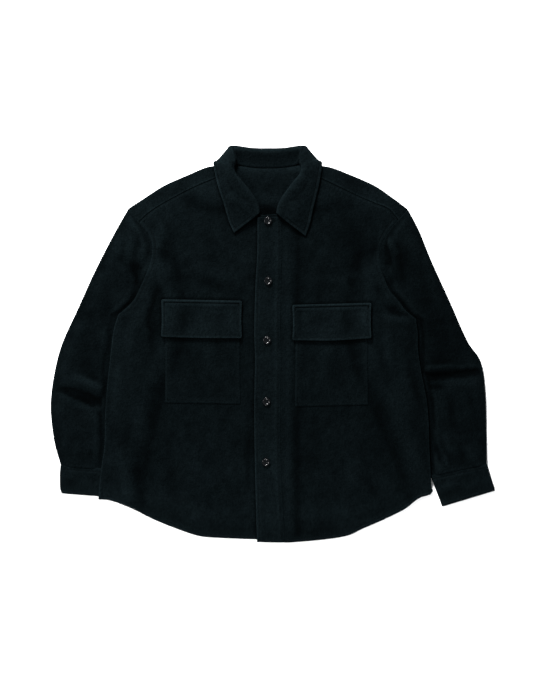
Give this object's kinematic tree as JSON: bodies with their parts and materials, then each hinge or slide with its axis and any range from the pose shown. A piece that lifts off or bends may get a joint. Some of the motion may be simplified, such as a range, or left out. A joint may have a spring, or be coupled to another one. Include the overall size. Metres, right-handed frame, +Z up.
{
  "type": "shacket",
  "caption": "Thick brushed-wool overshirt laid flat on its back: fold-over collar, button placket, flapped chest pockets, shoulder yoke, cuffed sleeves tucked beside the body",
  "frame": {"origin": "on the resting surface, under the middle of the garment's box", "axes": "+Z up out of the surface, +Y from hem to collar, the wearer's right side at -X"},
  "size_m": [0.8766, 0.783, 0.0199],
  "materials": {
    "wool": "brushed, matte with a soft nap",
    "buttons": "polished"
  },
  "bodies": {
    "root": {"back": "wool", "yoke": "wool", "front_right": "wool", "front_left": "wool", "placket": "wool", "collar": "wool", "sleeve_right": "wool", "sleeve_left": "wool", "cuff_right": "wool", "cuff_left": "wool", "pocket_right": "wool", "pocket_left": "wool", "flap_right": "wool", "flap_left": "wool", "button_1": "buttons", "button_2": "buttons", "button_3": "buttons", "button_4": "buttons", "button_5": "buttons"}
  },
  "joints": []
}
